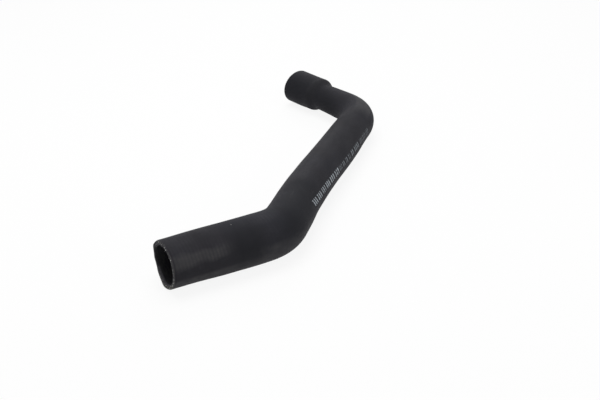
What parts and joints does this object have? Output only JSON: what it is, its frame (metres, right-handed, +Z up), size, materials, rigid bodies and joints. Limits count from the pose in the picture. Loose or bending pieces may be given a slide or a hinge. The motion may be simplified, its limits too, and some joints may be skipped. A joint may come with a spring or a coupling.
{
  "type": "turbo hose",
  "caption": "Moulded rubber charge air hose with two bends, a wide plain mouth at one end and a narrow neck stepping up to a thick cuff at the other.",
  "frame": {"origin": "middle of the underside of the box around the hose, on the surface that it lies on", "axes": "-X out of the wide mouth along the straight mouth leg, +Z up as the hose lies; both main bends turn left, and the cuff opens 12 degrees off +Y, towards -X"},
  "size_m": [0.4598, 0.4433, 0.0625],
  "materials": {
    "rubber": "matt moulded rubber with faint cloth wrap marks"
  },
  "bodies": {
    "root": {"turbo_hose": "rubber"}
  },
  "joints": []
}
